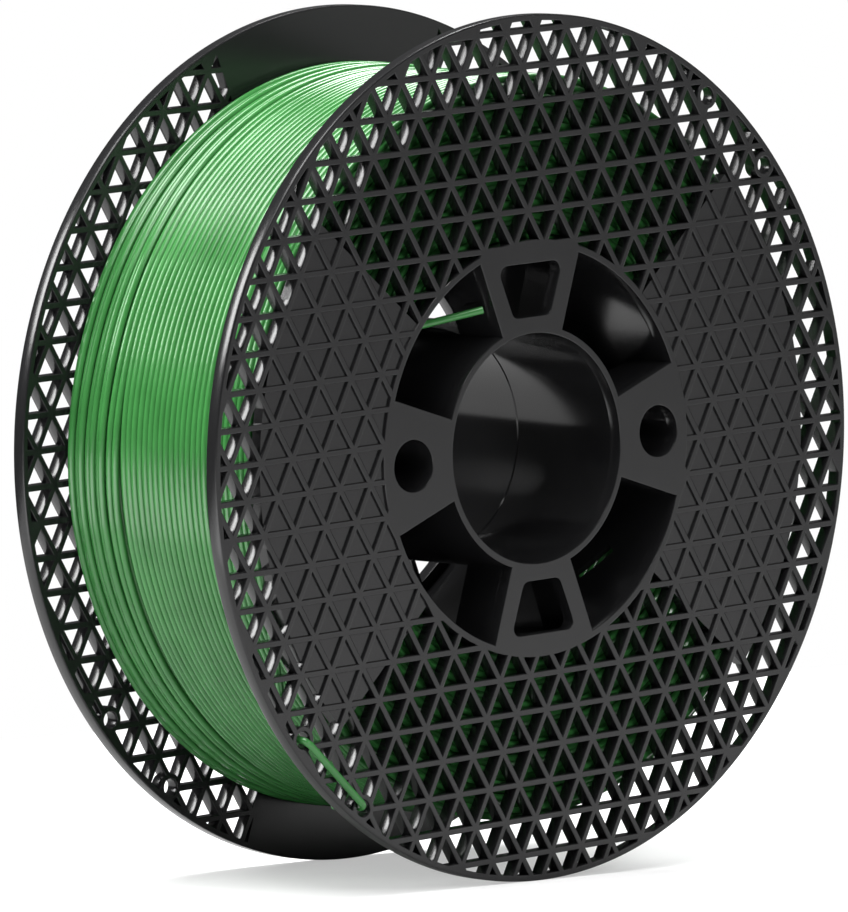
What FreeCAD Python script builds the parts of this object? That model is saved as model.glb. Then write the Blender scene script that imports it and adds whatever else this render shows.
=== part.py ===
"""Filament spool: two moulded halves with lattice flanges, and the strand wound between them.

Frame: the spool axis is Y, the front flange faces -Y, +X is right seen from the front, +Z is up.
The origin is on the axis at mid-width. Angles are measured from +X towards +Z. Millimetres.
The mouldings are drawn with their drive-pin spokes on the X axis and then turned by spool_turn.
"""

import FreeCAD
import Part
import math
import os

Vector = FreeCAD.Vector
Rotation = FreeCAD.Rotation
Placement = FreeCAD.Placement

doc = FreeCAD.newDocument("FilamentSpool")

# ---------------------------------------------------------------- driving dimensions

SIZES = [
    ("outer_radius", 100.0, "flange rim"),
    ("overall_width", 68.8, "outer face to outer face"),
    ("flange_thickness", 3.4, "one flange"),
    ("rim_rounding", 0.4, "edge radius of the flange rim"),
    ("edge_rounding", 0.3, "edge radius on the hub's outer face"),
    ("spool_turn", 3.0, "degrees that the mouldings stand turned about the axis"),
    ("bore_radius", 26.6, "spindle bore"),
    ("bore_wall", 1.6, "bore tube"),
    ("drum_radius", 48.0, "outside of the drum, under the winding"),
    ("drum_wall", 1.4, "drum tube"),
    ("web_thickness", 3.4, "spokes"),
    ("spoke_wall_depth", 14.6, "radial walls along both edges of a spoke, from the outer face"),
    ("spoke_wall_half_angle", 1.1, "degrees, half of what one of these walls spans"),
    ("back_lip_radius", 44.2, "narrow lip at the drum end of the back half's windows"),
    ("window_angle", 51.0, "degrees spanned by one window between two spokes"),
    ("socket_place_radius", 38.95, "drive-pin sockets, from the axis"),
    ("socket_radius", 6.0, "drive-pin socket, hole"),
    ("socket_wall", 1.2, "drive-pin socket, tube"),
    ("socket_depth", 12.0, "drive-pin socket, from the outer face"),
    ("slot_inner_radius", 31.0, "opening in the other two spokes, inner arc"),
    ("slot_outer_radius", 44.0, "opening in the other two spokes, outer arc"),
    ("slot_inner_half_angle", 10.5, "degrees"),
    ("slot_outer_half_angle", 13.5, "degrees"),
    ("slot_corner_radius", 2.0, "opening corners"),
    ("cell_side", 9.53, "lattice triangle, between rib centre lines"),
    ("rib_width", 1.4, "lattice rib"),
    ("lattice_inner_radius", 48.2, "where the lattice meets the drum ring"),
    ("lattice_outer_radius", 98.5, "where the lattice meets the rim band"),
    ("smallest_cell_area", 1.2, "clipped cells smaller than this stay solid"),
    ("floor_recess", 0.6, "backed sectors, below the rib tops"),
    ("front_floor_radius", 86.0, "outer arc of the front flange's backed sectors"),
    ("front_floor_half_angle", 42.0, "degrees, both sectors of the front flange"),
    ("back_floor_half_angle", 21.0, "degrees, both sectors of the back flange"),
    ("retention_place_radius", 96.3, "strand retention holes, from the axis"),
    ("retention_hole_radius", 2.0, "strand retention hole"),
    ("retention_boss_radius", 3.2, "solid boss around a retention hole"),
    ("retention_centre_angle", 45.0, "degrees, middle of a pair of holes"),
    ("retention_half_spread", 7.5, "degrees, from the middle to one hole"),
    ("start_slot_angle", 138.0, "degrees, middle of the slot that lets the strand start in"),
    ("start_slot_depth", 18.4, "from the front face to the middle of the slot"),
    ("start_slot_length", 10.0, "along the slot"),
    ("start_slot_width", 2.4, "across the slot"),
    ("start_slot_slant", -55.0, "degrees from the axis; below zero, nearer the face as angles grow"),
    ("strand_diameter", 1.75, "filament"),
    ("strand_clearance", 0.05, "between the winding and the drum"),
    ("winding_radius", 84.5, "outside of the inner layers"),
    ("turn_pitch", 1.78, "along the axis, in the top layer"),
    ("top_layer_turns", 26, "neat turns from the front flange on"),
    ("crossing_height", 3.0, "raised, uneven turns over the inner layers, at their crest"),
    ("crossing_turns", 9, "raised turns beside the back flange"),
]

sheet = doc.addObject("Spreadsheet::Sheet", "Sizes")
for row, (alias, value, note) in enumerate(SIZES, start=1):
    sheet.set(f"A{row}", alias)
    sheet.set(f"B{row}", str(value))
    sheet.setAlias(f"B{row}", alias)
    sheet.set(f"C{row}", note)
doc.recompute()


def size(alias):
    """The number in the sheet's cell."""
    return float(sheet.get(alias))


HALF_WIDTH = size("overall_width") / 2
INNER_FACE = HALF_WIDTH - size("flange_thickness")
BORE_OUTSIDE = size("bore_radius") + size("bore_wall")
DRUM_INSIDE = size("drum_radius") - size("drum_wall")
ALONG_Y = Rotation(Vector(1, 0, 0), -90)
FRONT = -1
BACK = 1


def about_axis(degrees):
    """Rotation about the spool axis, from +X towards +Z."""
    return Rotation(Vector(0, -1, 0), degrees)


def polar(radius, degrees, y):
    """Point at a radius and angle about the spool axis."""
    angle = math.radians(degrees)
    return Vector(radius * math.cos(angle), y, radius * math.sin(angle))


TURNED = Placement(Vector(0, 0, 0), about_axis(size("spool_turn")))

# ---------------------------------------------------------------- building helpers


def cylinder(name, radius, height, side, centre=(0.0, 0.0), inset=0.0):
    """Cylinder along Y that starts at one outer face, or inset from it, and runs inwards."""
    solid = doc.addObject("Part::Cylinder", name)
    solid.setExpression("Radius", radius)
    solid.setExpression("Height", height)
    height_value = solid.evalExpression(height)
    start = HALF_WIDTH - inset
    base_y = -start if side == FRONT else start - float(height_value)
    solid.Placement = Placement(Vector(centre[0], base_y, centre[1]), ALONG_Y)
    return solid


def cut(name, base, tool):
    result = doc.addObject("Part::Cut", name)
    result.Base = base
    result.Tool = tool
    result.Refine = False
    return result


def join(name, pieces, merge_faces=False):
    result = doc.addObject("Part::MultiFuse", name)
    result.Shapes = pieces
    result.Refine = merge_faces
    return result


def tube(name, outer, inner, height, side, centre=(0.0, 0.0)):
    """Straight tube along Y that starts at one outer face."""
    wall = cylinder(name + "_outside", outer, height, side, centre)
    hole = cylinder(name + "_inside", inner, height, side, centre)
    return cut(name, wall, hole)


def sector(name, inner, outer, height, side, middle, half_angle, inset=0.0):
    """Part of a ring, from middle - half_angle to middle + half_angle degrees."""
    wedge = cylinder(name + "_wedge", outer, height, side, inset=inset)
    wedge.setExpression("Angle", f"2 * {half_angle}")
    half_value = float(wedge.evalExpression(half_angle))
    spin = about_axis(middle + half_value)
    wedge.Placement = Placement(wedge.Placement.Base, spin.multiply(ALONG_Y))
    core = cylinder(name + "_core", inner, height, side, inset=inset)
    return cut(name, wedge, core)


def prism(name, profile, length):
    """Extrusion of a flat profile along +Y."""
    solid = doc.addObject("Part::Extrusion", name)
    solid.Base = profile
    solid.DirMode = "Custom"
    solid.Dir = Vector(0, 1, 0)
    solid.setExpression("LengthFwd", length)
    solid.Solid = True
    return solid


def round_edges(name, base, radius, wanted):
    """Fillet of every edge that the test wanted(edge) picks."""
    doc.recompute()
    result = doc.addObject("Part::Fillet", name)
    result.Base = base
    picked = [i for i, edge in enumerate(base.Shape.Edges, start=1) if wanted(edge)]
    result.Edges = [(i, radius, radius) for i in picked]
    return result


def is_circle(edge, radius, y):
    """True for a whole or part circle about the spool axis with this radius and place."""
    if not isinstance(edge.Curve, Part.Circle):
        return False
    centre = edge.Curve.Center
    on_axis = math.hypot(centre.x, centre.z) < 0.01
    return on_axis and abs(edge.Curve.Radius - radius) < 0.01 and abs(centre.y - y) < 0.01


def finish(node, label, placement=TURNED):
    """Gives a finished sub-part its name and its place."""
    node.Label = label
    node.Placement = placement
    return node


# ---------------------------------------------------------------- flanges


def triangle_cell(corner_x, corner_z, side_length, inset, points_up):
    """One lattice opening: a triangle pulled in from its rib centre lines by inset."""
    height = side_length * math.sqrt(3) / 2
    centre_x = corner_x + side_length / 2
    centre_z = corner_z + (height / 3 if points_up else -height / 3)
    reach = side_length / math.sqrt(3) - 2 * inset
    first = 90 if points_up else -90
    corners = []
    for k in range(3):
        angle = math.radians(first + 120 * k)
        corners.append(Vector(centre_x + reach * math.cos(angle), 0, centre_z + reach * math.sin(angle)))
    return Part.Face(Part.makePolygon(corners + corners[:1]))


def disc_face(radius, centre=Vector(0, 0, 0)):
    """Flat disc in the XZ plane."""
    return Part.Face(Part.Wire(Part.makeCircle(radius, centre, Vector(0, 1, 0))))


def retention_places():
    """Centres of the four retention holes: two pairs, opposite each other."""
    places = []
    for pair in (0, 180):
        for step in (-1, 1):
            angle = size("retention_centre_angle") + pair + step * size("retention_half_spread")
            places.append(polar(size("retention_place_radius"), angle, 0))
    return places


def lattice_cells():
    """Every opening of the lattice, clipped by the drum ring, the rim band and the bosses."""
    side_length = size("cell_side")
    row_height = side_length * math.sqrt(3) / 2
    inner, outer = size("lattice_inner_radius"), size("lattice_outer_radius")
    ring = disc_face(outer).cut(disc_face(inner))
    bosses = [(place, disc_face(size("retention_boss_radius"), place)) for place in retention_places()]
    rows = int(outer / row_height) + 2
    columns = int(outer / side_length) + 2
    openings = []
    for row in range(-rows, rows + 1):
        # a triangle's centroid lies on the spool axis, so row 0 is a third of a row below it
        corner_z = row * row_height - row_height / 3
        shift = 0.5 * (row % 2) - 0.5
        for column in range(-columns, columns + 1):
            corner_x = (column + shift) * side_length
            for points_up in (True, False):
                cell = triangle_cell(corner_x, corner_z, side_length, size("rib_width") / 2, points_up)
                radii = [math.hypot(v.X, v.Z) for v in cell.Vertexes]
                if max(radii) < inner or min(radii) > outer:
                    continue
                if min(radii) < inner + side_length or max(radii) > outer:
                    cell = cell.common(ring)
                for place, boss in bosses:
                    if cell.Faces and (cell.BoundBox.Center - place).Length < side_length:
                        cell = cell.cut(boss)
                openings += [p for p in cell.Faces if p.Area > size("smallest_cell_area")]
    return openings


def lattice_outline(openings, side):
    """Flat outline of one flange, with every opening and retention hole, at its lowest Y."""
    holes = [disc_face(size("drum_radius"))] + openings
    holes += [disc_face(size("retention_hole_radius"), place) for place in retention_places()]
    wires = []
    for hole in holes:
        wire = hole.OuterWire
        if Part.Face(wire).normalAt(0, 0).y > 0:
            wire.reverse()
        wires.append(wire)
    face = disc_face(size("outer_radius"))
    full_area = face.Area
    face.cutHoles(wires)
    if abs(full_area - sum(hole.Area for hole in holes) - face.Area) > 1:
        face.validate()
    outline = doc.addObject("Part::Feature", "lattice_outline_" + ("front" if side == FRONT else "back"))
    outline.Shape = face
    outline.Placement = Placement(Vector(0, -HALF_WIDTH if side == FRONT else INNER_FACE, 0), Rotation())
    return outline


def flange(label, openings, side, floors):
    """Lattice disc with its backed sectors; floors holds (middle angle, half angle, outer radius)."""
    pieces = [prism(label + "_lattice", lattice_outline(openings, side), "Sizes.flange_thickness")]
    for number, (middle, half_angle, outer) in enumerate(floors, start=1):
        pieces.append(sector(
            f"{label}_floor_{number}", "Sizes.drum_radius", outer,
            "Sizes.flange_thickness - Sizes.floor_recess", side, middle, half_angle,
            inset=size("floor_recess")))
    disc = join(label + "_disc", pieces)
    faces_y = (-HALF_WIDTH, -INNER_FACE) if side == FRONT else (INNER_FACE, HALF_WIDTH)
    rounded = round_edges(
        label + "_rounded", disc, size("rim_rounding"),
        lambda edge: any(is_circle(edge, size("outer_radius"), y) for y in faces_y))
    return finish(rounded, label)


lattice_openings = lattice_cells()
front_floors = [
    (0.0, "Sizes.front_floor_half_angle", "Sizes.front_floor_radius"),
    (180.0, "Sizes.front_floor_half_angle", "Sizes.front_floor_radius"),
]
back_floors = [
    (90.0, "Sizes.back_floor_half_angle", "Sizes.lattice_outer_radius + Sizes.rim_rounding"),
    (270.0, "Sizes.back_floor_half_angle", "Sizes.lattice_outer_radius + Sizes.rim_rounding"),
]
front_flange = flange("front_flange", lattice_openings, FRONT, front_floors)
back_flange = flange("back_flange", lattice_openings, BACK, back_floors)

# ---------------------------------------------------------------- hubs


def slot_outline(label, middle, side):
    """Opening in a spoke: two arcs about the axis joined by straight sides."""
    inner, outer = size("slot_inner_radius"), size("slot_outer_radius")
    inner_half, outer_half = size("slot_inner_half_angle"), size("slot_outer_half_angle")
    y = -HALF_WIDTH if side == FRONT else HALF_WIDTH - size("web_thickness")
    inner_points = [polar(inner, middle + step * inner_half, y) for step in (-1, 0, 1)]
    outer_points = [polar(outer, middle + step * outer_half, y) for step in (1, 0, -1)]
    edges = [
        Part.Arc(*inner_points).toShape(),
        Part.LineSegment(inner_points[2], outer_points[0]).toShape(),
        Part.Arc(*outer_points).toShape(),
        Part.LineSegment(outer_points[2], inner_points[0]).toShape(),
    ]
    outline = doc.addObject("Part::Feature", label)
    outline.Shape = Part.Face(Part.Wire(edges))
    return outline


def start_slot(name, angle):
    """Slanted slot through the drum wall, beside the front flange."""
    solid = doc.addObject("Part::Box", name)
    solid.setExpression("Length", "Sizes.start_slot_width")
    solid.setExpression("Width", "Sizes.start_slot_length")
    solid.setExpression("Height", "4 * Sizes.drum_wall")
    centred = Placement(
        Vector(-size("start_slot_width") / 2, -size("start_slot_length") / 2, -2 * size("drum_wall")),
        Rotation())
    slant = Placement(Vector(0, 0, 0), Rotation(Vector(0, 0, 1), size("start_slot_slant")))
    middle_radius = size("drum_radius") - size("drum_wall") / 2
    place = Placement(
        polar(middle_radius, angle, size("start_slot_depth") - HALF_WIDTH), about_axis(angle - 90))
    solid.Placement = place.multiply(slant).multiply(centred)
    return solid


def opening_edge(edge, side):
    """True for an edge of a spoke's own opening on the outer face."""
    on_face = all(abs(v.Y - side * HALF_WIDTH) < 0.01 for v in edge.Vertexes)
    radii = [math.hypot(v.X, v.Z) for v in edge.Vertexes]
    return on_face and min(radii) > BORE_OUTSIDE + 1 and max(radii) < DRUM_INSIDE - 1


def spoke(name, side, middle):
    """Flat web from the bore tube to the drum wall, with a radial wall along each edge."""
    reach = ("Sizes.bore_radius + Sizes.bore_wall", "Sizes.drum_radius - Sizes.drum_wall")
    half_angle = (90 - size("window_angle")) / 2
    pieces = [sector(name + "_web", *reach, "Sizes.web_thickness", side, middle,
                     "(90 - Sizes.window_angle) / 2")]
    for step in (-1, 1):
        wall_middle = middle + step * (half_angle - size("spoke_wall_half_angle"))
        pieces.append(sector(
            f"{name}_wall_{'first' if step < 0 else 'second'}", *reach, "Sizes.spoke_wall_depth",
            side, wall_middle, "Sizes.spoke_wall_half_angle"))
    return pieces


def drum(label, side):
    """Half of the drum: the front one has two start slots, the back one a lip in each window."""
    wall = tube(label + "_wall", "Sizes.drum_radius", "Sizes.drum_radius - Sizes.drum_wall",
                "Sizes.overall_width / 2", side)
    if side == BACK:
        lips = []
        for number in range(4):
            lips.append(sector(
                f"{label}_lip_{number + 1}", "Sizes.back_lip_radius",
                "Sizes.drum_radius - Sizes.drum_wall / 2", "Sizes.web_thickness", side,
                45.0 + 90.0 * number, "Sizes.window_angle / 2"))
        return finish(join(label + "_with_lips", [wall] + lips, merge_faces=True), label)
    slots = []
    for number, angle in enumerate((0.0, 180.0), start=1):
        slots.append(start_slot(f"{label}_start_slot_{number}", size("start_slot_angle") + angle))
    return finish(cut(label + "_slotted", wall, join(label + "_slots", slots)), label)


def bore_tube(label, side):
    """Half of the bore tube, rounded at its mouth."""
    sharp = tube(label + "_wall", "Sizes.bore_radius + Sizes.bore_wall", "Sizes.bore_radius",
                 "Sizes.overall_width / 2", side)
    rounded = round_edges(
        label + "_rounded", sharp, size("edge_rounding"),
        lambda edge: is_circle(edge, size("bore_radius"), side * HALF_WIDTH))
    return finish(rounded, label)


def socket_spokes(label, side):
    """The two opposite spokes that carry a drive-pin socket each."""
    bodies = []
    holes = []
    for number, angle in enumerate((0.0, 180.0), start=1):
        place = polar(size("socket_place_radius"), angle, 0)
        bodies += spoke(f"{label}_{number}", side, angle)
        bodies.append(cylinder(
            f"{label}_post_{number}", "Sizes.socket_radius + Sizes.socket_wall",
            "Sizes.socket_depth", side, (place.x, place.z)))
        holes.append(cylinder(
            f"{label}_hole_{number}", "Sizes.socket_radius", "Sizes.socket_depth", side,
            (place.x, place.z)))
    sharp = cut(label + "_sharp", join(label + "_solid", bodies, merge_faces=True),
                join(label + "_holes", holes))
    rounded = round_edges(
        label + "_rounded", sharp, size("edge_rounding"), lambda edge: opening_edge(edge, side))
    return finish(rounded, label)


def open_spokes(label, side):
    """The two opposite spokes with a slot through them."""
    bodies = []
    slots = []
    for number, angle in enumerate((90.0, 270.0), start=1):
        bodies += spoke(f"{label}_{number}", side, angle)
        opening = prism(f"{label}_slot_prism_{number}",
                        slot_outline(f"{label}_slot_outline_{number}", angle, side),
                        "Sizes.web_thickness")
        slots.append(round_edges(
            f"{label}_slot_{number}", opening, size("slot_corner_radius"),
            lambda edge: isinstance(edge.Curve, Part.Line) and abs(edge.tangentAt(0).y) > 0.99))
    sharp = cut(label + "_sharp", join(label + "_solid", bodies, merge_faces=True),
                join(label + "_slots", slots))
    rounded = round_edges(
        label + "_rounded", sharp, size("edge_rounding"), lambda edge: opening_edge(edge, side))
    return finish(rounded, label)


front_drum = drum("front_drum", FRONT)
front_bore_tube = bore_tube("front_bore_tube", FRONT)
front_socket_spokes = socket_spokes("front_socket_spokes", FRONT)
front_open_spokes = open_spokes("front_open_spokes", FRONT)
back_drum = drum("back_drum", BACK)
back_bore_tube = bore_tube("back_bore_tube", BACK)
back_socket_spokes = socket_spokes("back_socket_spokes", BACK)
back_open_spokes = open_spokes("back_open_spokes", BACK)

# ---------------------------------------------------------------- wound strand

UNTURNED = Placement()


def revolved(name, profile):
    """Full turn of a flat profile about the spool axis."""
    solid = doc.addObject("Part::Revolution", name)
    solid.Source = profile
    solid.Axis = Vector(0, 1, 0)
    solid.Base = Vector(0, 0, 0)
    solid.Angle = 360
    solid.Solid = True
    return solid


def turns_profile(name, floor_radius, height, first_y, last_y, turns):
    """Section of a layer of turns: flat inside, with one round crest for each turn outside."""
    step = (last_y - first_y) / turns
    valley = floor_radius + height - size("strand_diameter") / 2
    crest = floor_radius + height
    edges = [
        Part.LineSegment(Vector(valley, last_y, 0), Vector(floor_radius, last_y, 0)).toShape(),
        Part.LineSegment(Vector(floor_radius, last_y, 0), Vector(floor_radius, first_y, 0)).toShape(),
        Part.LineSegment(Vector(floor_radius, first_y, 0), Vector(valley, first_y, 0)).toShape(),
    ]
    for turn in range(turns):
        start_y = first_y + turn * step
        ends = (Vector(valley, start_y, 0), Vector(valley, start_y + step, 0))
        edges.append(Part.Arc(ends[0], Vector(crest, start_y + step / 2, 0), ends[1]).toShape())
    profile = doc.addObject("Part::Feature", name)
    profile.Shape = Part.Face(Part.Wire(Part.sortEdges(edges)[0]))
    return profile


def wound_ring(label):
    """The inner layers: one closed ring from flange to flange."""
    winding_width = "Sizes.overall_width - 2 * Sizes.flange_thickness"
    inset = size("flange_thickness")
    outside = cylinder(label + "_outside", "Sizes.winding_radius", winding_width, FRONT, inset=inset)
    inside = cylinder(
        label + "_inside", "Sizes.drum_radius + Sizes.strand_clearance", winding_width, FRONT,
        inset=inset)
    return finish(cut(label + "_ring", outside, inside), label, UNTURNED)


def route_edges(points, radii):
    """Straight runs joined by tangent arcs, one arc at each inner point."""
    edges = []
    start = points[0]
    for before, corner, after, radius in zip(points, points[1:], points[2:], radii):
        to_before = (before - corner).normalize()
        to_after = (after - corner).normalize()
        opening = to_before.getAngle(to_after)
        tangent_length = radius / math.tan(opening / 2)
        arc_start = corner + to_before * tangent_length
        arc_end = corner + to_after * tangent_length
        bisector = (to_before + to_after).normalize()
        arc_middle = corner + bisector * (radius / math.sin(opening / 2) - radius)
        edges.append(Part.LineSegment(start, arc_start).toShape())
        edges.append(Part.Arc(arc_start, arc_middle, arc_end).toShape())
        start = arc_end
    edges.append(Part.LineSegment(start, points[-1]).toShape())
    return edges


def strand(label, points, radii):
    """Round strand along a route; its volume is compared with section times length."""
    path = Part.Wire(route_edges(points, radii))
    direction = points[1] - points[0]
    section = Part.Wire(Part.makeCircle(size("strand_diameter") / 2, points[0], direction))
    body = doc.addObject("Part::Feature", label)
    body.Shape = path.makePipeShell([section], True, False)
    body.Placement = UNTURNED
    body.Label = label
    expected = math.pi * (size("strand_diameter") / 2) ** 2 * path.Length
    if abs(body.Shape.Volume / expected - 1) > 0.02:
        raise RuntimeError(f"{label}: volume {body.Shape.Volume:.1f}, expected {expected:.1f}")
    print(f"{label}: {path.Length:.1f} mm long, bend radii {radii}")
    return body


filament_winding = wound_ring("filament_winding")

top_layer_end = -INNER_FACE + size("turn_pitch") * size("top_layer_turns")
filament_top_layer = finish(
    revolved("top_layer_turns_solid", turns_profile(
        "top_layer_section", size("winding_radius"), size("strand_diameter"),
        -INNER_FACE, top_layer_end, int(size("top_layer_turns")))),
    "filament_top_layer", UNTURNED)

crossing_start = INNER_FACE - size("strand_diameter") * (size("crossing_turns") - 1)
filament_crossing_turns = finish(
    revolved("crossing_turns_solid", turns_profile(
        "crossing_section", size("winding_radius"), size("crossing_height"),
        crossing_start, INNER_FACE, int(size("crossing_turns")))),
    "filament_crossing_turns", UNTURNED)

# The free end leaves the top layer beside the front flange, goes out through one retention
# hole, along the outer face and back in through the other hole of the pair.
hole_middle = 180 + size("retention_centre_angle") + size("spool_turn")
first_hole = hole_middle - size("retention_half_spread")
second_hole = hole_middle + size("retention_half_spread")
hole_circle = size("retention_place_radius")
strand_radius = size("strand_diameter") / 2
layer_centre = size("winding_radius") + strand_radius
leaving_angle = first_hole - math.degrees(math.acos(layer_centre / hole_circle))
inside_y = -INNER_FACE + strand_radius + 0.3
outside_y = -HALF_WIDTH - strand_radius - 0.1
tucked_y = -INNER_FACE + 7.0
filament_tail = strand("filament_tail", [
    polar(layer_centre, leaving_angle, inside_y),
    polar(hole_circle, first_hole - 0.4, inside_y),
    polar(hole_circle, first_hole + 0.3, outside_y),
    polar(hole_circle, second_hole - 0.3, outside_y),
    polar(hole_circle, second_hole + 0.3, tucked_y),
], [2.0, 2.0, 2.0])

# The first end comes through the drum wall by a start slot and stands free in a window.
inner_end_angle = 115.4
inner_end_radius = 36.0
inner_end_depth = 1.9
wall_angle = size("start_slot_angle") + size("spool_turn") + 3.5
wall_y = size("start_slot_depth") - 2.0 - HALF_WIDTH
filament_start = strand("filament_start", [
    polar(size("drum_radius"), wall_angle, wall_y),
    polar(size("drum_radius") - 2.6, wall_angle, wall_y),
    polar(inner_end_radius, inner_end_angle, inner_end_depth - HALF_WIDTH),
], [2.0])

# ---------------------------------------------------------------- checks and export

doc.recompute()
for item in doc.Objects:
    if "Invalid" in item.State or "Error" in item.State:
        raise RuntimeError(f"{item.Name} failed: {item.State}")

NODES = [
    front_flange, front_drum, front_bore_tube, front_socket_spokes, front_open_spokes,
    back_flange, back_drum, back_bore_tube, back_socket_spokes, back_open_spokes,
    filament_winding, filament_top_layer, filament_crossing_turns, filament_tail, filament_start,
]
for node in NODES:
    if node.Shape.isNull() or not node.Shape.isValid():
        raise RuntimeError(f"{node.Label} has no valid shape")

os.makedirs("parts", exist_ok=True)
for node in NODES:
    node.Shape.exportStep(f"parts/{node.Label}.step")
    print(f"{node.Label}: solids {len(node.Shape.Solids)}, {node.Shape.Volume:.0f} mm3")
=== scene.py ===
"""Looks of the filament spool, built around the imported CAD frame.

Frame: the spool axis is Y, the front flange faces -Y, +Z is up, the origin is at mid-width.
Angles are measured about the axis from +X towards +Z. Lengths are in metres.
"""

import math

import bpy
import numpy as np
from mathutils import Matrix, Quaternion, Vector
from mathutils.geometry import delaunay_2d_cdt


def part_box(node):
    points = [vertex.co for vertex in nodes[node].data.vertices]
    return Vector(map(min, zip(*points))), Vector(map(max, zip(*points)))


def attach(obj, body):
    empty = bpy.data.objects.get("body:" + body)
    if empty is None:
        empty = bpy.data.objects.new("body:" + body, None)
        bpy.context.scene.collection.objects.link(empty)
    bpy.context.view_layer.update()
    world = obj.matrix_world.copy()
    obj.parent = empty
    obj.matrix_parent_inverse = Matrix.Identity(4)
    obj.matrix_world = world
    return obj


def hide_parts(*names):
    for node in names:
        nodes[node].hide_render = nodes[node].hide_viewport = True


MM = 0.001
TAU = 2 * math.pi
FRONT = -1
BACK = 1

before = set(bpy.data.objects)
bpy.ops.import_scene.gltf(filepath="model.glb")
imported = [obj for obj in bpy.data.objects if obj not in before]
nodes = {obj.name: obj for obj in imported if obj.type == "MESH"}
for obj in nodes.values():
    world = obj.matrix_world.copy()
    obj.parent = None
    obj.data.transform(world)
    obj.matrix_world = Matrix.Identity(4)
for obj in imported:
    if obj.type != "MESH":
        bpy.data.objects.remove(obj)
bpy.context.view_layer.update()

# ---------------------------------------------------------------- sizes

HALF_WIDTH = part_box("back_flange")[1].y
RIM_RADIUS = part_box("front_flange")[1].z
FLANGE_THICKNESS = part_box("front_flange")[1].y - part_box("front_flange")[0].y
INNER_FACE = HALF_WIDTH - FLANGE_THICKNESS
WINDING_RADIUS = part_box("filament_winding")[1].z

SPOOL_TURN = 3.0  # degrees, the spool's rest position about its axis
DRUM_RADIUS = 48.0 * MM
DRUM_INSIDE = 46.6 * MM
BORE_OUTSIDE = 28.2 * MM
BORE_RADIUS = 26.6 * MM
WINDOW_HALF_ANGLE = 25.5  # this and the other angles are in degrees
SOCKET_PLACE = 38.95 * MM
SOCKET_RADIUS = 6.0 * MM
SOCKET_WALL = 1.2 * MM
SOCKET_DEPTH = 12.0 * MM
SLOT_RADII = (31.0 * MM, 44.0 * MM)
SLOT_HALF_ANGLES = (10.5, 13.5)
SLOT_CORNER = 2.0 * MM
SPOKE_HALF_ANGLE = 45.0 - WINDOW_HALF_ANGLE
SPOKE_WALL_DEPTH = 14.6 * MM
SPOKE_WALL_HALF_ANGLE = 1.1
BACK_LIP_RADIUS = 44.2 * MM
START_SLOT = (3.0 * MM, 10.0 * MM)
START_SLOT_ANGLE = 138.0
START_SLOT_DEPTH = 18.4 * MM
START_SLOT_SLANT = -55.0
FLOOR_RECESS = 0.6 * MM
FRONT_FLOOR = (42.0, 86.0 * MM)  # half angle and outer radius of each backed sector
BACK_FLOOR = (21.0, 98.9 * MM)
EDGE_BREAK = 0.22 * MM
RIM_ROUNDING = 0.4 * MM
STRAND = 1.75 * MM
TURN_PITCH = 1.78 * MM
LAYER_STEP = STRAND * math.sqrt(3) / 2
ARC_STEP = 0.75  # degrees between points on round outlines
SOCKET_ARC_STEP = 6.0

# Small overlaps and gaps that keep neighbouring meshes from sharing a face.
WALL_IN_PLATE = 0.05 * MM
FLOOR_PROUD = 0.02 * MM
FLOOR_IN_DRUM = 0.5 * MM
DRUM_SUNK = 0.02 * MM
SPOKE_OVERLAP = 0.1 * MM
HALF_SEAM = 0.03 * MM

rng = np.random.default_rng(11)

# ---------------------------------------------------------------- mesh helpers


def mesh_object(name, vertices, faces, material, slot, smooth_angle=35.0):
    """Mesh object with smooth shading up to an angle, riding on the spool."""
    mesh = bpy.data.meshes.new(name)
    mesh.from_pydata([tuple(v) for v in vertices], [], [tuple(int(i) for i in f) for f in faces])
    mesh.update()
    piece = bpy.data.objects.new(name, mesh)
    bpy.context.scene.collection.objects.link(piece)
    mesh.polygons.foreach_set("use_smooth", [True] * len(mesh.polygons))
    mesh.set_sharp_from_angle(angle=math.radians(smooth_angle))
    mesh.materials.append(material)
    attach(piece, "root")
    return piece


def strips(rows, columns, close_rows, close_columns):
    """Quads between neighbouring points of a grid stored row after row."""
    faces = []
    for i in range(rows if close_rows else rows - 1):
        here, there = i * columns, ((i + 1) % rows) * columns
        for k in range(columns if close_columns else columns - 1):
            after = (k + 1) % columns
            faces.append((here + k, here + after, there + after, there + k))
    return faces


def merge(pieces):
    """One vertex list and one face list from several."""
    vertices, faces, base = [], [], 0
    for part_vertices, part_faces in pieces:
        vertices.append(np.asarray(part_vertices, float))
        faces += [tuple(base + i for i in face) for face in part_faces]
        base += len(part_vertices)
    return np.concatenate(vertices), faces


def around_axis(radius, angle, y):
    """Points from radius, angle in radians and y."""
    return np.stack([radius * np.cos(angle), y + 0 * angle, radius * np.sin(angle)], -1)


def lathe(profile, segments=480, centre=(0.0, 0.0)):
    """Full turn of a closed (radius, y) profile about the spool axis or a line beside it."""
    profile = np.array(profile)
    angle = math.radians(SPOOL_TURN) + np.arange(segments)[:, None] * TAU / segments
    points = around_axis(profile[None, :, 0], angle, profile[None, :, 1])
    points = points.reshape(-1, 3) + np.array([centre[0], 0, centre[1]])
    return points, strips(segments, len(profile), True, True)


def round_tube(radius, angle, y, sides=12):
    """Open strand about the spool axis, with its two ends closed."""
    count = len(angle)
    across = np.arange(sides) * TAU / sides
    radial = radius[:, None] + np.cos(across)[None, :] * STRAND / 2
    along = y[:, None] + np.sin(across)[None, :] * STRAND / 2
    points = around_axis(radial, angle[:, None], along).reshape(-1, 3)
    faces = strips(count, sides, False, True)
    faces.append(tuple(range(sides - 1, -1, -1)))
    faces.append(tuple((count - 1) * sides + k for k in range(sides)))
    return points, faces


# ---------------------------------------------------------------- materials

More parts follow.
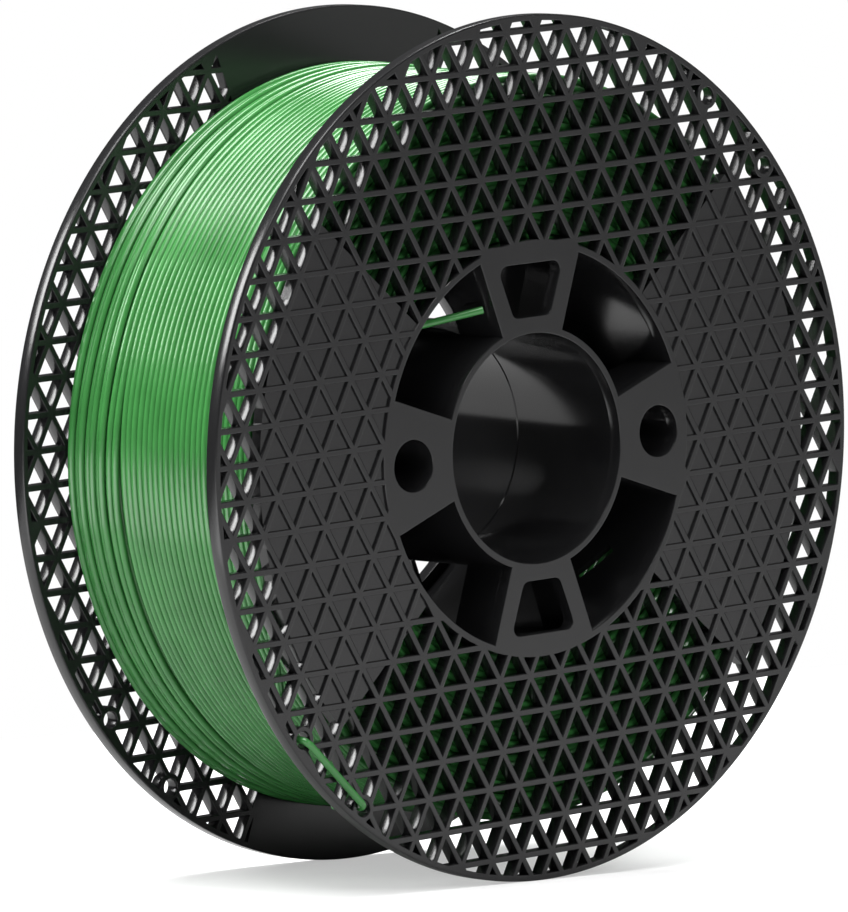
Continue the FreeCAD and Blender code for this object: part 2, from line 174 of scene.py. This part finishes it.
GLOSS_PATCHES = (0.85, 1.2)  # least and most roughness of a patch, against the plain one
GRAIN_DEPTH = 0.00004
RIPPLE_DEPTH = 0.00003


def new_material(name):
    """Material with nodes, its node tree and its shader."""
    material = bpy.data.materials.new(name)
    material.use_nodes = True
    tree = material.node_tree
    return material, tree, tree.nodes["Principled BSDF"]


def noise(tree, place, scale, detail):
    """Noise texture fixed to the piece."""
    texture = tree.nodes.new("ShaderNodeTexNoise")
    texture.inputs["Scale"].default_value = scale
    texture.inputs["Detail"].default_value = detail
    tree.links.new(place.outputs["Object"], texture.inputs["Vector"])
    return texture


def bump_from(tree, texture, shader, strength, distance):
    """Relief from a texture."""
    bump = tree.nodes.new("ShaderNodeBump")
    bump.inputs["Strength"].default_value = strength
    bump.inputs["Distance"].default_value = distance
    tree.links.new(texture.outputs["Fac"], bump.inputs["Height"])
    tree.links.new(bump.outputs["Normal"], shader.inputs["Normal"])


def black_plastic(name, roughness, grain, gloss):
    """Moulded black plastic: even dark colour, fine grain, slight patches in its gloss."""
    material, tree, shader = new_material(name)
    shader.inputs["Base Color"].default_value = (0.008, 0.008, 0.0085, 1)
    shader.inputs["IOR"].default_value = 1.5
    shader.inputs["Specular IOR Level"].default_value = gloss
    place = tree.nodes.new("ShaderNodeTexCoord")
    patches = noise(tree, place, scale=45.0, detail=3.0)
    spread = tree.nodes.new("ShaderNodeMapRange")
    spread.inputs["To Min"].default_value = roughness * GLOSS_PATCHES[0]
    spread.inputs["To Max"].default_value = roughness * GLOSS_PATCHES[1]
    tree.links.new(patches.outputs["Fac"], spread.inputs["Value"])
    tree.links.new(spread.outputs["Result"], shader.inputs["Roughness"])
    fine_grain = noise(tree, place, scale=2600.0, detail=2.0)
    bump_from(tree, fine_grain, shader, strength=grain, distance=GRAIN_DEPTH)
    return material


def green_filament(name):
    """Extruded green strand: glossy, with faint changes of colour along it."""
    material, tree, shader = new_material(name)
    shader.inputs["Roughness"].default_value = 0.14
    shader.inputs["IOR"].default_value = 1.5
    place = tree.nodes.new("ShaderNodeTexCoord")
    tint = noise(tree, place, scale=60.0, detail=2.0)
    ramp = tree.nodes.new("ShaderNodeValToRGB")
    ramp.color_ramp.elements[0].position = 0.3
    ramp.color_ramp.elements[0].color = (0.029, 0.142, 0.033, 1)
    ramp.color_ramp.elements[1].position = 0.7
    ramp.color_ramp.elements[1].color = (0.040, 0.183, 0.045, 1)
    tree.links.new(tint.outputs["Fac"], ramp.inputs["Fac"])
    tree.links.new(ramp.outputs["Color"], shader.inputs["Base Color"])
    ripples = noise(tree, place, scale=900.0, detail=2.0)
    bump_from(tree, ripples, shader, strength=0.08, distance=RIPPLE_DEPTH)
    return material


PLATE_PLASTIC = black_plastic("black_moulded_plastic", roughness=0.20, grain=0.22, gloss=0.42)
WALL_PLASTIC = black_plastic("black_polished_plastic", roughness=0.12, grain=0.08, gloss=0.3)
FILAMENT = green_filament("green_strand")

# ---------------------------------------------------------------- outlines

WELD_DIGITS = 6  # CAD vertices that agree to this many digits are one point
ON_FACE = 2e-6
LEAST_MITRE = 0.35  # keeps very sharp corners from running away
SHORTEST_EDGE = 0.02 * MM


def face_loops(node, y):
    """Closed outlines of a CAD node's flat face at that y, as arrays of (x, z)."""
    mesh = nodes[node].data
    keys = {}
    index = []
    for vertex in mesh.vertices:
        place = tuple(round(c, WELD_DIGITS) for c in vertex.co)
        index.append(keys.setdefault(place, len(keys)))
    points = np.array(list(keys))
    on_face = np.abs(points[:, 1] - y) < ON_FACE
    border = set()
    for polygon in mesh.polygons:
        corners = [index[i] for i in polygon.vertices]
        if all(on_face[c] for c in corners):
            for a, b in zip(corners, corners[1:] + corners[:1]):
                if (b, a) in border:
                    border.discard((b, a))
                else:
                    border.add((a, b))
    following = dict(sorted(border))
    loops = []
    while following:
        here = min(following)
        loop = []
        while here in following:
            loop.append(points[here][[0, 2]])
            here = following.pop(here)
        loops.append(np.array(loop))
    return loops


def on_circle(radius, angle, centre=(0.0, 0.0)):
    """Points (x, z) on a circle, angles in radians."""
    return np.stack([centre[0] + radius * np.cos(angle), centre[1] + radius * np.sin(angle)], -1)


def arc(radius, start, end):
    """Points on an arc about the axis, angles in degrees, in equal steps near ARC_STEP."""
    count = max(1, round(abs(end - start) / ARC_STEP))
    return on_circle(radius, np.radians(np.linspace(start, end, count + 1)))


def ring_loop(radius, centre=(0.0, 0.0), step=ARC_STEP):
    """Full circle as an outline, with step degrees between its points."""
    return on_circle(radius, np.radians(SPOOL_TURN + np.arange(0, 360, step)), centre)


def sector_loop(inner, outer, middle, half_angle):
    """Outline between two radii and two angles."""
    return np.concatenate([
        arc(inner, middle - half_angle, middle + half_angle),
        arc(outer, middle + half_angle, middle - half_angle)])


def rounded_corners(corners, radius, steps=6):
    """Polygon with each corner replaced by a short arc."""
    points = []
    for before, corner, after in zip(np.roll(corners, 1, 0), corners, np.roll(corners, -1, 0)):
        to_before = (before - corner) / np.linalg.norm(before - corner)
        to_after = (after - corner) / np.linalg.norm(after - corner)
        half = math.acos(np.clip(to_before @ to_after, -1, 1)) / 2
        reach = radius / math.tan(half)
        bisector = to_before + to_after
        middle = corner + bisector / np.linalg.norm(bisector) * radius / math.sin(half)
        first = corner + to_before * reach - middle
        last = corner + to_after * reach - middle
        start = math.atan2(first[1], first[0])
        sweep = (math.atan2(last[1], last[0]) - start + math.pi) % TAU - math.pi
        angle = start + sweep * np.linspace(0, 1, steps + 1)
        points.append(middle + radius * np.stack([np.cos(angle), np.sin(angle)], -1))
    return np.concatenate(points)


def slot_loop(middle):
    """Opening of a plain spoke: wider towards the drum, with round corners."""
    corners = []
    for end, step in ((0, -1), (1, -1), (1, 1), (0, 1)):
        angle = math.radians(middle + step * SLOT_HALF_ANGLES[end])
        corners.append((SLOT_RADII[end] * math.cos(angle), SLOT_RADII[end] * math.sin(angle)))
    return rounded_corners(np.array(corners), SLOT_CORNER)


def area(loop):
    """Signed area of an outline, positive when it runs anticlockwise."""
    x, z = loop[:, 0], loop[:, 1]
    return 0.5 * float(np.sum(x * np.roll(z, -1) - z * np.roll(x, -1)))


def grown(loop, distance):
    """The outline moved outwards by distance, mitred; the loop runs anticlockwise."""
    edge = np.roll(loop, -1, 0) - loop
    edge /= np.linalg.norm(edge, axis=1)[:, None]
    out = np.stack([edge[:, 1], -edge[:, 0]], -1)
    before = np.roll(out, 1, 0)
    bisector = before + out
    scale = 1 / np.maximum(LEAST_MITRE, 1 + np.sum(before * out, axis=1))
    return loop + bisector * scale[:, None] * distance


def tidy_loop(loop):
    """Anticlockwise loop with no points that almost coincide."""
    if area(loop) < 0:
        loop = loop[::-1]
    step = np.linalg.norm(loop - np.roll(loop, 1, 0), axis=1)
    return loop[step > SHORTEST_EDGE]


# ---------------------------------------------------------------- plates


BREAK_POINTS = 4  # outlines across each broken edge
PLATE_SMOOTH_ANGLE = 20.0
INSIDE_LOOPS = 1  # the triangulation keeps what lies inside some loop
WELD_DISTANCE = 1e-9
RIM_BAND = 1.2 * MM
DRUM_BAND = 0.15 * MM


def edge_rows(loop, thickness, is_rim):
    """Outlines from the outer face to the inner one, both edges broken, each with its depth."""
    quarter_turn = math.pi / 2
    bend = np.linspace(0, 1, BREAK_POINTS) * quarter_turn
    break_size = RIM_ROUNDING if is_rim else EDGE_BREAK
    away = -1 if is_rim else 1
    into = break_size * (1 - np.sin(bend))
    depth = break_size * (1 - np.cos(bend))
    rows = []
    for inset, down in zip(into, depth):
        rows.append((grown(loop, away * inset), down))
    for inset, down in zip(into[::-1], depth[::-1]):
        rows.append((grown(loop, away * inset), thickness - down))
    return rows


def plate(name, openings, thickness, outer_y, material):
    """Round plate to the rim, with openings, a fine break on each edge and a rounded rim."""
    side = FRONT if outer_y < 0 else BACK
    loops = [ring_loop(RIM_RADIUS)] + [tidy_loop(loop) for loop in openings]
    pieces = []
    flat_loops = []
    flat_faces = []
    near_index = []
    far_index = []
    count = 0
    flat_count = 0
    for number, loop in enumerate(loops):
        is_rim = number == 0
        rows = edge_rows(loop, thickness, is_rim)
        points = []
        for flat, down in rows:
            depth = np.full(len(flat), outer_y - side * down)
            points.append(np.stack([flat[:, 0], depth, flat[:, 1]], -1))
        faces = strips(len(rows), len(loop), False, True)
        if is_rim == (side == BACK):
            faces = [face[::-1] for face in faces]
        pieces.append((np.concatenate(points), faces))
        flat_loops.append(rows[0][0])
        flat_faces.append(list(range(flat_count, flat_count + len(loop))))
        near_index.append(np.arange(len(loop)) + count)
        far_index.append(np.arange(len(loop)) + count + (len(rows) - 1) * len(loop))
        count += len(rows) * len(loop)
        flat_count += len(loop)
    flat_points = [Vector(point) for point in np.concatenate(flat_loops)]
    _, _, triangles, _, _, sources = delaunay_2d_cdt(
        flat_points, [], flat_faces, INSIDE_LOOPS, WELD_DISTANCE, True)
    near_index = np.concatenate(near_index)
    far_index = np.concatenate(far_index)
    near = []
    far = []
    for triangle, source in zip(triangles, sources):
        if list(source) == [0]:
            near.append(tuple(near_index[i] for i in triangle))
            far.append(tuple(far_index[i] for i in reversed(triangle)))
    if side == BACK:
        near = [face[::-1] for face in near]
        far = [face[::-1] for face in far]
    vertices, faces = merge(pieces)
    return mesh_object(name, vertices, faces + near + far, material, "black_plastic",
                       PLATE_SMOOTH_ANGLE)


def lattice_loops(node, side):
    """Lattice openings and retention holes of a flange, from the CAD face."""
    found = []
    for loop in face_loops(node, side * HALF_WIDTH):
        radii = np.linalg.norm(loop, axis=1)
        is_rim = radii.min() > RIM_RADIUS - RIM_BAND
        is_drum = radii.max() < DRUM_RADIUS + DRUM_BAND
        if not is_rim and not is_drum:
            found.append(loop)
    return found


def hub_loops(side):
    """Bore, windows, sockets and slots of the hub face; the back windows end at a lip."""
    loops = [ring_loop(BORE_RADIUS)]
    window_end = DRUM_INSIDE if side == FRONT else BACK_LIP_RADIUS
    for quarter in range(4):
        middle = SPOOL_TURN + 45 + 90 * quarter
        loops.append(sector_loop(BORE_OUTSIDE, window_end, middle, WINDOW_HALF_ANGLE))
    for angle in (SPOOL_TURN, SPOOL_TURN + 180):
        loops.append(ring_loop(SOCKET_RADIUS, socket_centre(angle), SOCKET_ARC_STEP))
        loops.append(slot_loop(angle + 90))
    return loops


def socket_centre(degrees):
    """Centre (x, z) of the socket at that angle."""
    angle = math.radians(degrees)
    return (SOCKET_PLACE * math.cos(angle), SOCKET_PLACE * math.sin(angle))


def ring_sector(inner, outer, near_y, far_y, middle, half_angle):
    """Closed block between two radii, two y and two angles."""
    steps = max(2, int(2 * half_angle / ARC_STEP))
    angle = np.radians(np.linspace(middle - half_angle, middle + half_angle, steps + 1))
    radii = np.array([inner, outer, outer, inner])
    depths = np.array([near_y, near_y, far_y, far_y])
    points = around_axis(radii[None, :], angle[:, None], depths[None, :]).reshape(-1, 3)
    faces = strips(steps + 1, 4, False, True)
    faces.append((3, 2, 1, 0))
    faces.append(tuple(steps * 4 + k for k in range(4)))
    if near_y > far_y:
        faces = [face[::-1] for face in faces]
    return points, faces


def floor_sector(middle, half_angle, outer, side):
    """Plate behind the ribs that closes the lattice over a sector."""
    return ring_sector(DRUM_RADIUS - FLOOR_IN_DRUM, outer, side * (HALF_WIDTH - FLOOR_RECESS),
                       side * (INNER_FACE - FLOOR_PROUD), middle, half_angle)


def flange(node, side, floor_angles, floor):
    """Face of one moulding: lattice, rim and hub openings in one plate, and its backed sectors."""
    openings = lattice_loops(node, side) + hub_loops(side)
    face = plate(node + "_lattice", openings, FLANGE_THICKNESS, side * HALF_WIDTH, PLATE_PLASTIC)
    half_angle, outer = floor
    sectors = [floor_sector(SPOOL_TURN + a, half_angle, outer, side) for a in floor_angles]
    mesh_object(node + "_floors", *merge(sectors), PLATE_PLASTIC, "black_plastic")
    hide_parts(node)


flange("front_flange", FRONT, (0, 180), FRONT_FLOOR)
flange("back_flange", BACK, (90, 270), BACK_FLOOR)

# ---------------------------------------------------------------- hub walls

SEAM_CHAMFER = 0.25 * MM
CUTTER_REACH = 4 * MM


def wall(outer, inner, side):
    """Half-width tube from behind the face plate to the seam at mid-width."""
    near = side * (INNER_FACE + WALL_IN_PLATE)
    far = side * HALF_SEAM
    return lathe([(outer, near), (outer, far), (inner + SEAM_CHAMFER, far),
                  (inner, far + side * SEAM_CHAMFER), (inner, near)])


def slanted_cutter(angle):
    """Box that cuts one start slot through the drum wall."""
    width, length = START_SLOT
    corners = np.array([(a, b, c) for a in (-1, 1) for b in (-1, 1) for c in (-1, 1)], float)
    corners *= np.array([width / 2, length / 2, CUTTER_REACH])
    tilt = math.radians(START_SLOT_SLANT)
    along = corners[:, 0] * math.cos(tilt) - corners[:, 1] * math.sin(tilt)
    depth = corners[:, 0] * math.sin(tilt) + corners[:, 1] * math.cos(tilt)
    turn = math.radians(angle)
    radial = DRUM_RADIUS + corners[:, 2]
    x = radial * math.cos(turn) + along * math.sin(turn)
    z = radial * math.sin(turn) - along * math.cos(turn)
    y = START_SLOT_DEPTH - HALF_WIDTH + depth
    faces = [(0, 1, 3, 2), (4, 6, 7, 5), (0, 4, 5, 1), (2, 3, 7, 6), (0, 2, 6, 4), (1, 5, 7, 3)]
    return np.stack([x, y, z], -1), faces


def cut_start_slots(piece):
    """Takes the two start slots out of the drum wall."""
    mesh = bpy.data.meshes.new("start_slot_cutters")
    vertices, faces = merge([slanted_cutter(START_SLOT_ANGLE + SPOOL_TURN + a) for a in (0, 180)])
    mesh.from_pydata([tuple(v) for v in vertices], [], faces)
    cutter = bpy.data.objects.new("start_slot_cutters", mesh)
    bpy.context.scene.collection.objects.link(cutter)
    modifier = piece.modifiers.new("start_slots", "BOOLEAN")
    modifier.operation = "DIFFERENCE"
    modifier.solver = "EXACT"
    modifier.object = cutter
    bpy.context.view_layer.update()
    result = bpy.data.meshes.new_from_object(
        piece.evaluated_get(bpy.context.evaluated_depsgraph_get()))
    piece.modifiers.clear()
    piece.data = result
    bpy.data.objects.remove(cutter)


def spoke_walls(spoke_angles, side):
    """Radial walls along both edges of each spoke, behind the face plate."""
    walls = []
    reach = SPOKE_HALF_ANGLE - SPOKE_WALL_HALF_ANGLE
    for angle in spoke_angles:
        for step in (-1, 1):
            walls.append(ring_sector(
                BORE_OUTSIDE - SPOKE_OVERLAP, DRUM_INSIDE + SPOKE_OVERLAP,
                side * (INNER_FACE + WALL_IN_PLATE), side * (HALF_WIDTH - SPOKE_WALL_DEPTH),
                SPOOL_TURN + angle + step * reach, SPOKE_WALL_HALF_ANGLE))
    return walls


def hub_walls(half, side):
    """Drum wall, bore tube, socket posts and spoke walls behind the face plate of one moulding."""
    drum = mesh_object(half + "_drum_wall", *wall(DRUM_RADIUS - DRUM_SUNK, DRUM_INSIDE, side),
                       WALL_PLASTIC, "black_plastic")
    if side == FRONT:
        cut_start_slots(drum)
    bore = mesh_object(half + "_bore_wall", *wall(BORE_OUTSIDE, BORE_RADIUS, side),
                       WALL_PLASTIC, "black_plastic")
    near = side * (INNER_FACE + WALL_IN_PLATE)
    far = side * (HALF_WIDTH - SOCKET_DEPTH)
    profile = [(SOCKET_RADIUS + SOCKET_WALL, near), (SOCKET_RADIUS + SOCKET_WALL, far),
               (SOCKET_RADIUS, far), (SOCKET_RADIUS, near)]
    posts = [lathe(profile, segments=60, centre=socket_centre(SPOOL_TURN + a)) for a in (0, 180)]
    sockets = mesh_object(half + "_sockets", *merge(posts + spoke_walls((0, 180), side)),
                          WALL_PLASTIC, "black_plastic")
    open_spokes = mesh_object(half + "_spoke_walls", *merge(spoke_walls((90, 270), side)),
                              WALL_PLASTIC, "black_plastic")
    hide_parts(half + "_drum")
    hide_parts(half + "_bore_tube")
    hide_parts(half + "_socket_spokes")
    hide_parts(half + "_open_spokes")


hub_walls("front", FRONT)
hub_walls("back", BACK)

# ---------------------------------------------------------------- winding

TURN_STEPS = 180  # points around each turn
TURN_WANDER = 0.035 * MM  # usual stray of a neat turn from its place
STEP_DOWN_RATE = 8  # the neat layer steps down a layer within an eighth of a turn
SUNK_FROM = 13.2 * MM  # y beyond which the neat layer lies one layer lower
FLANGE_GAP = 0.2 * MM

# The lengths in the next block are in mm.
BURIED = 1.6  # how deep both ends of the raised turns sink, out of sight
HIDDEN_RAMP = 0.17  # turns over which each end sinks to that depth
CROSSING_LIFT = 0.5
SMOOTHING_POINTS = 15
LONG_SWAY = (0.12, 1.7, 0.0)  # size, waves per turn and phase
SHORT_SWAY = (0.08, 3.3, 1.0)

END_TURN_SIDES = 10
END_TURN_GAP = 0.15 * MM
END_TURN_SINK = 0.5 * MM  # most that a whole end turn is set back
END_TURN_TILT = 0.3 * MM  # how much its distance from the flange changes around it
FIRST_LAYER_GAP = 0.04 * MM
FIRST_LAYER_ENDS = (-26 * MM, -5 * MM)
STRAND_SMOOTH_ANGLE = 40.0


def neat_layer(first_y, last_y, sunk_from, turns):
    """Neat turns, one layer lower beyond sunk_from, with small differences between turns."""
    turn = np.arange(turns * TURN_STEPS + 1) / TURN_STEPS
    wander = np.interp(turn, np.arange(turns + 1), rng.normal(0, TURN_WANDER, turns + 1))
    sunk_turn = round((sunk_from - first_y) / (last_y - first_y) * turns)
    sink = np.clip((turn - sunk_turn) * STEP_DOWN_RATE, 0, 1) * LAYER_STEP
    y = first_y + (last_y - first_y) * turn / turns
    return round_tube(WINDING_RADIUS + STRAND / 2 + wander - sink, turn * TAU, y + wander)


def swayed(turn, sway):
    """Side to side movement in mm along the turns."""
    size, waves, phase = sway
    return size * np.sin(turn * TAU * waves + phase)


def raised_turns(turns, crossing=(165.0, 200.0)):
    """Uneven turns that step over to the next place where the strand crosses the one below.

    turns holds, for each turn, its y before the crossing, its y after it and its lift, in mm.
    """
    middle = (crossing[0] + crossing[1]) / 2
    knots = []
    for number, (before, after, lift) in enumerate(turns):
        knots.append((number + crossing[0] / 360, before, lift))
        knots.append((number + crossing[1] / 360, after, lift))
        knots.append((number + middle / 360, (before + after) / 2, lift + CROSSING_LIFT))
    first, last = turns[0], turns[-1]
    knots.append((0.0, first[0], -BURIED))
    knots.append((HIDDEN_RAMP, first[0], first[2]))
    knots.append((len(turns) - HIDDEN_RAMP, last[1], last[2]))
    knots.append((len(turns), last[1], -BURIED))
    knots, places, lifts = np.array(sorted(knots)).T
    turn = np.arange(int(knots[0] * TURN_STEPS), int(knots[-1] * TURN_STEPS)) / TURN_STEPS
    smooth = np.hanning(SMOOTHING_POINTS)
    smooth /= smooth.sum()

    def follow(values):
        raw = np.pad(np.interp(turn, knots, values), SMOOTHING_POINTS // 2, mode="edge")
        return np.convolve(raw, smooth, mode="valid")

    sway = swayed(turn, LONG_SWAY) + swayed(turn, SHORT_SWAY)
    radius = WINDING_RADIUS + STRAND / 2 + follow(lifts) * MM
    return round_tube(radius, turn * TAU, (follow(places) + sway) * MM)


def end_turns(side):
    """Turns that show through the lattice, in every other layer nearer to the flange."""
    rings = []
    layers = int((WINDING_RADIUS - DRUM_RADIUS) / LAYER_STEP)
    angle = np.arange(TURN_STEPS + 1) * TAU / TURN_STEPS
    for layer in range(layers):
        radius = np.full(len(angle), DRUM_RADIUS + STRAND / 2 + layer * LAYER_STEP)
        rest = STRAND / 2 if layer % 2 else STRAND
        start = rng.uniform(0, TAU)
        sink = rng.uniform(0, END_TURN_SINK) + END_TURN_TILT * np.sin(angle + start)
        y = side * (INNER_FACE - END_TURN_GAP - rest - np.abs(sink))
        rings.append(round_tube(radius, angle + start, y, END_TURN_SIDES))
    return rings


def first_layer(first_y, last_y):
    """Turns on the drum, which show through the start slots."""
    angle = np.arange(TURN_STEPS + 1) * TAU / TURN_STEPS
    radius = np.full(len(angle), DRUM_RADIUS + STRAND / 2 + FIRST_LAYER_GAP)
    places = np.arange(first_y, last_y, STRAND)
    return [round_tube(radius, angle, np.full(len(angle), y)) for y in places]


# The core fills the winding behind the turns that can be seen.
core_end = INNER_FACE - 2.6 * MM
core_inside = DRUM_RADIUS + 1.1 * MM
core_radius = WINDING_RADIUS - LAYER_STEP + 0.3 * MM
core = mesh_object("filament_core", *lathe([
    (core_inside, -core_end), (core_radius, -core_end),
    (core_radius, core_end), (core_inside, core_end)]), FILAMENT, "green_filament")
mesh_object("filament_end_turns", *merge(end_turns(FRONT) + end_turns(BACK)),
            FILAMENT, "green_filament")
mesh_object("filament_first_layer", *merge(first_layer(*FIRST_LAYER_ENDS)),
            FILAMENT, "green_filament")
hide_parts("filament_winding")

first_turn = -INNER_FACE + STRAND / 2 + FLANGE_GAP
last_turn = INNER_FACE - STRAND / 2 - FLANGE_GAP
neat_turns = int((last_turn - first_turn) / TURN_PITCH)
neat = mesh_object(
    "filament_neat_turns", *neat_layer(first_turn, last_turn, SUNK_FROM, neat_turns),
    FILAMENT, "green_filament")
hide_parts("filament_top_layer")

RAISED = [
    (14.6, 16.5, 0.0), (16.3, 18.3, 0.1), (18.1, 20.1, 0.9), (20.0, 21.7, 0.2),
    (21.7, 23.5, 0.7), (23.4, 25.3, 0.1), (25.3, 26.9, 1.0), (27.1, 28.5, 0.3),
    (28.7, 29.9, 0.9), (30.0, 30.0, 0.2),
]
raised = mesh_object("filament_raised_turns", *raised_turns(RAISED), FILAMENT, "green_filament")
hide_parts("filament_crossing_turns")

for node in ("filament_tail", "filament_start"):
    strand_mesh = nodes[node].data
    strand_mesh.materials.clear()
    strand_mesh.materials.append(FILAMENT)
    strand_mesh.polygons.foreach_set("use_smooth", [True] * len(strand_mesh.polygons))
    strand_mesh.set_sharp_from_angle(angle=math.radians(STRAND_SMOOTH_ANGLE))

# ---------------------------------------------------------------- stage

FLOOR_REACH = 4.0  # from the spool to the left, to the right and towards the camera
FLOOR_BACK = 0.30
FLOOR_GREY = 0.46
FLOOR_GLOW = 0.46


def studio_floor():
    """Matt floor under the rims, lifted towards white where the camera sees it."""
    mesh = bpy.data.meshes.new("floor")
    corners = ((-FLOOR_REACH, -FLOOR_REACH), (FLOOR_REACH, -FLOOR_REACH),
               (FLOOR_REACH, FLOOR_BACK), (-FLOOR_REACH, FLOOR_BACK))
    mesh.from_pydata([(x, y, -RIM_RADIUS) for x, y in corners], [], [(0, 1, 2, 3)])
    floor = bpy.data.objects.new("floor", mesh)
    bpy.context.scene.collection.objects.link(floor)
    material, tree, shader = new_material("white_floor")
    shader.inputs["Base Color"].default_value = (FLOOR_GREY, FLOOR_GREY, FLOOR_GREY, 1)
    shader.inputs["Roughness"].default_value = 0.8
    shader.inputs["Emission Color"].default_value = (1, 1, 1, 1)
    seen = tree.nodes.new("ShaderNodeLightPath")
    glow = tree.nodes.new("ShaderNodeMath")
    glow.operation = "MULTIPLY"
    glow.inputs[1].default_value = FLOOR_GLOW
    tree.links.new(seen.outputs["Is Camera Ray"], glow.inputs[0])
    tree.links.new(glow.outputs["Value"], shader.inputs["Emission Strength"])
    mesh.materials.append(material)


def studio_world():
    """White behind the object, dim grey in its reflections, as in a dark studio."""
    world = bpy.data.worlds.new("studio")
    bpy.context.scene.world = world
    world.use_nodes = True
    tree = world.node_tree
    white = tree.nodes["Background"]
    white.inputs["Color"].default_value = (1, 1, 1, 1)
    white.inputs["Strength"].default_value = 1.0
    dim = tree.nodes.new("ShaderNodeBackground")
    dim.inputs["Color"].default_value = (1, 1, 1, 1)
    dim.inputs["Strength"].default_value = 0.08
    seen = tree.nodes.new("ShaderNodeLightPath")
    mix = tree.nodes.new("ShaderNodeMixShader")
    tree.links.new(seen.outputs["Is Camera Ray"], mix.inputs["Fac"])
    tree.links.new(dim.outputs["Background"], mix.inputs[1])
    tree.links.new(white.outputs["Background"], mix.inputs[2])
    tree.links.new(mix.outputs["Shader"], tree.nodes["World Output"].inputs["Surface"])


def softbox(name, location, width, height, radiance, roll=0.0, aim=(0, 0, 0)):
    """Area light sized in metres, aimed at a point, with its brightness as a radiance."""
    light = bpy.data.lights.new(name, "AREA")
    light.shape = "RECTANGLE"
    light.size = width
    light.size_y = height
    light.energy = radiance * math.pi * width * height
    lamp = bpy.data.objects.new(name, light)
    lamp.location = location
    facing = (Vector(aim) - Vector(location)).to_track_quat("-Z", "Y")
    lamp.rotation_euler = (facing @ Quaternion((0, 0, 1), math.radians(roll))).to_euler()
    bpy.context.scene.collection.objects.link(lamp)
    return lamp


def product_camera():
    """Long lens, to the left of the front and a little above the axis."""
    lens = bpy.data.cameras.new("camera")
    lens.sensor_width = 36.0
    lens.lens = 545.8
    lens.clip_end = 100.0
    camera = bpy.data.objects.new("camera", lens)
    camera.location = (-2.1901, -2.3283, 0.2406)
    view = Vector((0.6826, 0.7268, -0.0762))
    camera.rotation_euler = view.to_track_quat("-Z", "Y").to_euler()
    bpy.context.scene.collection.objects.link(camera)
    bpy.context.scene.camera = camera
    bpy.context.scene.view_settings.view_transform = "Standard"


studio_floor()
studio_world()
softbox("softbox_back_left", (-0.873, 0.780, 0.655), 0.30, 0.56, radiance=20.0, roll=25.5,
        aim=(0.077, 0.030, 0.164))
softbox("softbox_top", (-0.4, 0.2, 1.9), 1.4, 1.4, radiance=13.5)
softbox("softbox_left", (-0.85, -0.75, 1.65), 0.9, 0.9, radiance=6.0)
softbox("softbox_left_strip", (-1.3, 0.12, 0.72), 0.16, 0.75, radiance=9.0)
softbox("softbox_right", (0.9, 0.5, 1.5), 0.9, 0.9, radiance=16.0)
softbox("softbox_front", (-0.08, -1.75, 1.02), 0.55, 0.55, radiance=14.0)
softbox("softbox_far_right", (1.3, -1.4, 0.35), 0.8, 0.7, radiance=0.9, aim=(0, 0, 0.3))
low_panel = softbox("softbox_low_left", (-0.60, -0.10, -0.098), 0.7, 0.5, radiance=2.6,
                    aim=(-0.60, -0.10, 1.0))
low_panel.visible_camera = False
product_camera()
